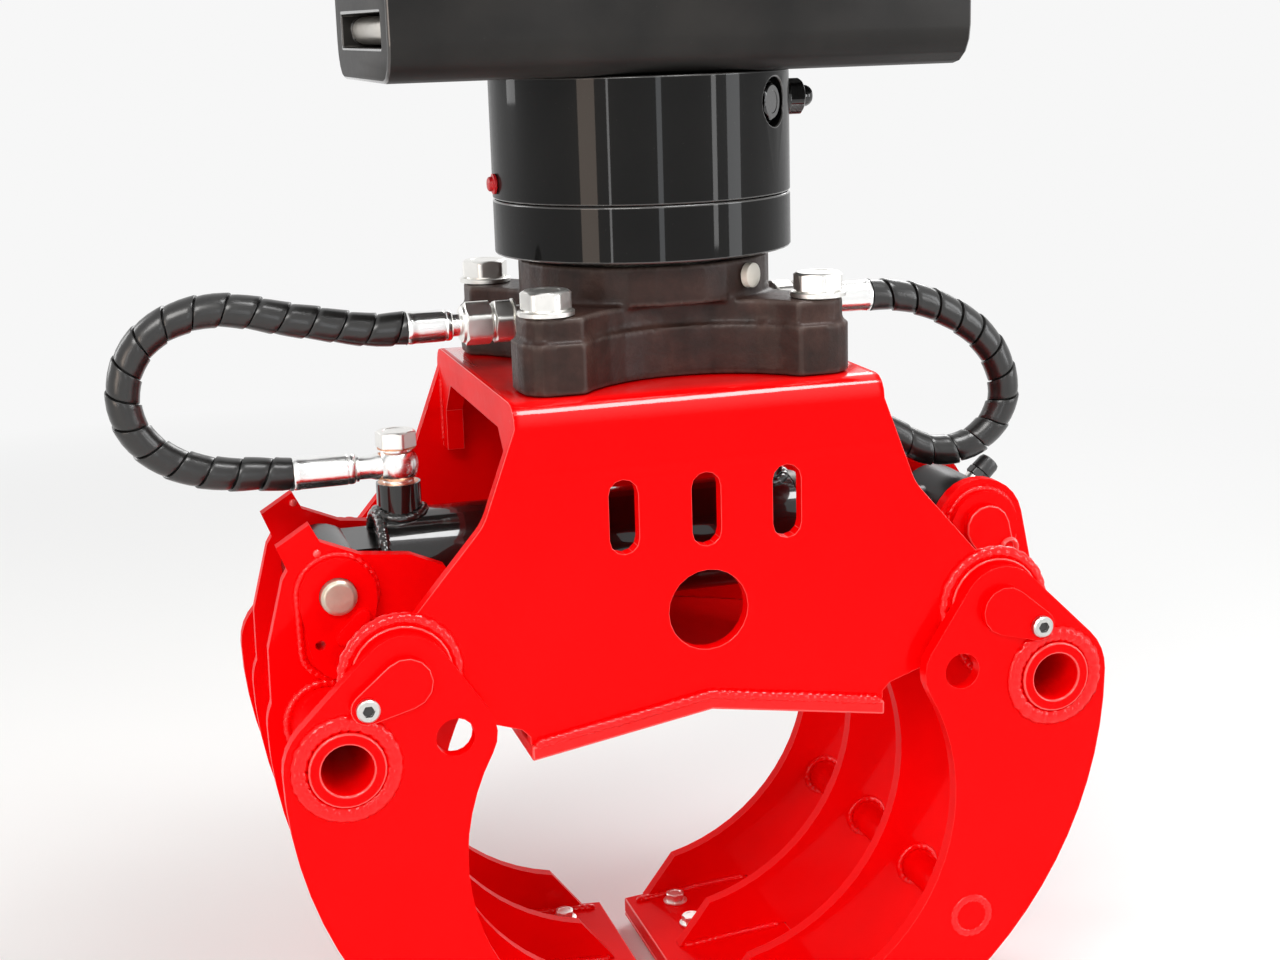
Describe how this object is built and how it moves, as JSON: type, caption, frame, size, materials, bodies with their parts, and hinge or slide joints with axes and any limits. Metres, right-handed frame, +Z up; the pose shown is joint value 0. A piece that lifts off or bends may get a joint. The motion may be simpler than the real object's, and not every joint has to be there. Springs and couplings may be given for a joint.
{
  "type": "sorting grapple",
  "caption": "Hydraulic sorting grapple: a hanger beam and rotator carry a folded frame with two ribbed jaws closed by a horizontal cylinder.",
  "frame": {"origin": "middle of the hanger beam's top face, on the rotator's axis", "axes": "+Z up along the rotator axis; +X along the cylinder towards its rod end; +Y from the front plate to the rear"},
  "size_m": [0.5305, 0.254, 0.6569],
  "materials": {
    "red_paint": "glossy red paint over welded steel plate",
    "black_paint": "glossy black paint",
    "cast_black": "black painted casting, slightly rough",
    "zinc": "bright zinc plate",
    "chrome": "polished hard chrome",
    "steel": "turned steel, lightly oiled",
    "bronze": "oiled bearing bronze",
    "hose_rubber": "black hose in a satin black spiral guard",
    "seal_rubber": "matt black seal rubber"
  },
  "bodies": {
    "hanger": {"hanger_beam": "black_paint", "rotator_housing": "black_paint", "rotator_end_cover": "black_paint", "rotator_bearing": "bronze", "rotator_seal": "seal_rubber", "rotator_plug_front": "black_paint", "rotator_plug_side": "black_paint"},
    "frame": {"rotor_shaft": "steel", "rotator_flange": "cast_black", "flange_bolt_1": "zinc", "flange_bolt_2": "zinc", "flange_bolt_3": "zinc", "flange_bolt_4": "zinc", "frame_channel": "red_paint", "frame_bottom_plate": "red_paint", "pivot_boss_left_front": "red_paint", "pivot_boss_left_rear": "red_paint", "pivot_boss_right_front": "red_paint", "pivot_boss_right_rear": "red_paint", "port_adapter_left": "zinc", "port_adapter_right": "zinc", "hose_fitting_top_left": "zinc", "hose_fitting_top_right": "zinc", "hose_left": "hose_rubber", "hose_right": "hose_rubber"},
    "left_jaw": {"left_jaw_outer_plate_front": "red_paint", "left_jaw_outer_plate_rear": "red_paint", "left_jaw_lever_plate_front": "red_paint", "left_jaw_lever_plate_rear": "red_paint", "left_jaw_torsion_tube": "red_paint", "left_jaw_cross_bar": "red_paint", "left_jaw_edge_plate": "red_paint", "left_jaw_knife": "red_paint", "left_jaw_pivot_pin_front": "red_paint", "left_jaw_pivot_pin_rear": "red_paint", "left_jaw_pin_screw_front": "zinc", "left_jaw_pin_screw_rear": "zinc", "left_jaw_cylinder_pin": "steel"},
    "right_jaw": {"right_jaw_outer_plate_front": "red_paint", "right_jaw_outer_plate_rear": "red_paint", "right_jaw_lever_plate_front": "red_paint", "right_jaw_lever_plate_rear": "red_paint", "right_jaw_torsion_tube": "red_paint", "right_jaw_cross_bar": "red_paint", "right_jaw_edge_plate": "red_paint", "right_jaw_knife": "red_paint", "right_jaw_pivot_pin_front": "red_paint", "right_jaw_pivot_pin_rear": "red_paint", "right_jaw_pin_screw_front": "zinc", "right_jaw_pin_screw_rear": "zinc", "right_jaw_cylinder_pin": "red_paint"},
    "barrel": {"cylinder_barrel": "black_paint", "cylinder_gland": "steel", "banjo_bolt_left": "zinc", "banjo_bolt_right": "zinc", "hose_fitting_lower_left": "zinc", "hose_fitting_lower_right": "zinc"},
    "rod": {"cylinder_rod": "chrome", "cylinder_piston": "steel"}
  },
  "joints": [
    {"name": "rotator_spin", "type": "hinge", "parent": "hanger", "child": "frame", "pos_m": [0, 0, -0.159], "axis": [0, 0, 1], "continuous": true},
    {"name": "left_jaw_swing", "type": "hinge", "parent": "frame", "child": "left_jaw", "pos_m": [-0.1655, 0, -0.388], "axis": [0, 1, 0], "range_deg": [-1.5, 45], "deforming": ["hose_left", "hose_right"]},
    {"name": "right_jaw_swing", "type": "hinge", "parent": "frame", "child": "right_jaw", "pos_m": [0.1655, 0, -0.388], "axis": [0, -1, 0], "range_deg": [-1.6, 45.1]},
    {"name": "cylinder_tilt", "type": "hinge", "parent": "left_jaw", "child": "barrel", "pos_m": [-0.188, 0, -0.36], "axis": [0, 1, 0], "range_deg": [-45.1, 1.6]},
    {"name": "rod_travel", "type": "slide", "parent": "barrel", "child": "rod", "axis": [1, 0, 0], "range_m": [-0.0522, 0.0018]}
  ],
  "couplings": [
    {"joint": "right_jaw_swing", "follows": "left_jaw_swing", "ratio": 1},
    {"joint": "cylinder_tilt", "follows": "left_jaw_swing", "ratio": -1},
    {"joint": "rod_travel", "follows": "left_jaw_swing", "m_per_rad": -0.066}
  ]
}
